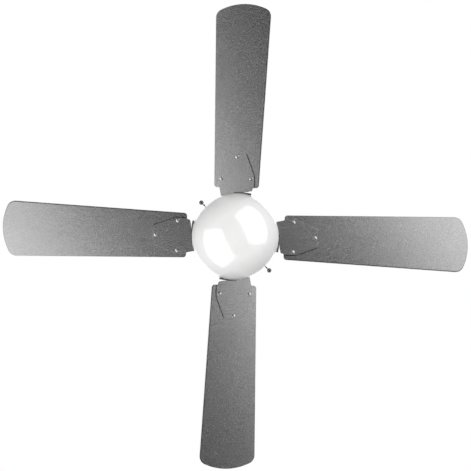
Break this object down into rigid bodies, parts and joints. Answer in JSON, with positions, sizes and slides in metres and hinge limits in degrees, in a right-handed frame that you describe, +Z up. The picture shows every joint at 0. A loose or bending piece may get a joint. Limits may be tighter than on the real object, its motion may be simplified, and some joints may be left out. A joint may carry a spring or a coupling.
{
  "type": "ceiling fan",
  "caption": "Ceiling fan on a down rod: pitched blades on stamped irons, outer-rotor motor, opal glass light bowl and two pull chains, hung from a ball joint.",
  "frame": {"origin": "centre of the ceiling bracket's upper face, midway between its two slotted screw holes", "axes": "+Z up into the ceiling along the rod and the motor shaft; +X along the line of the two ceiling screws, and along the first blade at rest"},
  "size_m": [1.05, 1.05, 0.4883],
  "materials": {
    "silver_paint": "satin silver-grey enamel",
    "blade_silver": "satin silver-grey foil on a board core",
    "bright_steel": "plain zinc-plated steel",
    "motor_steel": "bare laminated and cast metal",
    "copper_wire": "varnished copper wire",
    "dark_nylon": "black nylon",
    "grey_plastic": "grey moulded plastic",
    "black_seal": "black rubber",
    "chrome_chain": "polished nickel",
    "porcelain": "white porcelain",
    "lamp_glass": "frosted white glass",
    "opal_glass": "glossy white opal glass"
  },
  "bodies": {
    "ceiling_mount": {"hanger_bracket": "bright_steel", "canopy": "silver_paint", "canopy_screws": "chrome_chain"},
    "hanging_frame": {"hanger_ball": "dark_nylon", "ball_pin": "bright_steel", "downrod": "silver_paint", "motor_yoke": "bright_steel", "yoke_bolt": "bright_steel", "yoke_set_screws": "bright_steel", "yoke_cover": "silver_paint", "upper_housing": "silver_paint", "housing_screws": "bright_steel", "motor_shaft": "bright_steel", "stator_core": "motor_steel", "stator_coils": "copper_wire", "bearing_inner_rings": "bright_steel", "switch_plate": "bright_steel", "shaft_nuts": "bright_steel", "switch_housing": "silver_paint", "switch_housing_screws": "chrome_chain", "capacitor": "dark_nylon", "reverse_switch_body": "dark_nylon", "light_pan": "silver_paint", "lamp_nipple": "bright_steel", "nipple_nuts": "bright_steel", "speed_switch_body": "grey_plastic", "light_switch_body": "grey_plastic", "chain_guides": "chrome_chain", "lamp_bracket": "bright_steel", "lamp_holders": "porcelain", "bulb_bases": "bright_steel", "lamp_bulbs": "lamp_glass"},
    "rotor": {"bearing_outer_rings": "bright_steel", "bearing_seals": "black_seal", "rotor_upper_bell": "motor_steel", "rotor_lower_bell": "motor_steel", "rotor_ring": "motor_steel", "rotor_screws": "bright_steel", "blade_iron_1": "silver_paint", "blade_iron_2": "silver_paint", "blade_iron_3": "silver_paint", "blade_iron_4": "silver_paint", "iron_screws": "chrome_chain", "blade_1": "blade_silver", "blade_2": "blade_silver", "blade_3": "blade_silver", "blade_4": "blade_silver", "blade_screws": "chrome_chain"},
    "glass_shade": {"glass_dome": "opal_glass", "glass_collar": "bright_steel"},
    "speed_pull": {"speed_chain": "chrome_chain", "speed_chain_fob": "chrome_chain"},
    "light_pull": {"light_chain": "chrome_chain", "light_chain_fob": "chrome_chain"},
    "speed_drum": {"speed_switch_drum": "grey_plastic"},
    "light_drum": {"light_switch_drum": "grey_plastic"},
    "reverse_slider": {"reverse_knob": "dark_nylon"}
  },
  "joints": [
    {"name": "ball_tilt", "type": "hinge", "parent": "ceiling_mount", "child": "hanging_frame", "pos_m": [0, 0, -0.034], "axis": [1, 0, 0], "range_deg": [-12, 12]},
    {"name": "rotor_spin", "type": "hinge", "parent": "hanging_frame", "child": "rotor", "pos_m": [0, 0, -0.217], "axis": [0, 0, 1], "continuous": true},
    {"name": "glass_turn", "type": "hinge", "parent": "hanging_frame", "child": "glass_shade", "pos_m": [0, 0, -0.33], "axis": [0, 0, 1], "range_deg": [0, 30]},
    {"name": "speed_pull_slide", "type": "slide", "parent": "hanging_frame", "child": "speed_pull", "axis": [0, 0, -1], "range_m": [0, 0.012], "stiffness_N_per_m": 150, "springref_m": -0.01},
    {"name": "speed_drum_turn", "type": "hinge", "parent": "hanging_frame", "child": "speed_drum", "pos_m": [0.05101, 0.03613, -0.299], "axis": [0, 0, 1], "range_deg": [-90, 0]},
    {"name": "light_pull_slide", "type": "slide", "parent": "hanging_frame", "child": "light_pull", "axis": [0, 0, -1], "range_m": [0, 0.012], "stiffness_N_per_m": 150, "springref_m": -0.01},
    {"name": "light_drum_turn", "type": "hinge", "parent": "hanging_frame", "child": "light_drum", "pos_m": [-0.05101, -0.03613, -0.299], "axis": [0, 0, 1], "range_deg": [-90, 0]},
    {"name": "reverse_slide", "type": "slide", "parent": "hanging_frame", "child": "reverse_slider", "axis": [1, 0, 0], "range_m": [0, 0.006]}
  ],
  "couplings": [
    {"joint": "speed_drum_turn", "follows": "speed_pull_slide", "rad_per_m": -125},
    {"joint": "light_drum_turn", "follows": "light_pull_slide", "rad_per_m": -125}
  ]
}
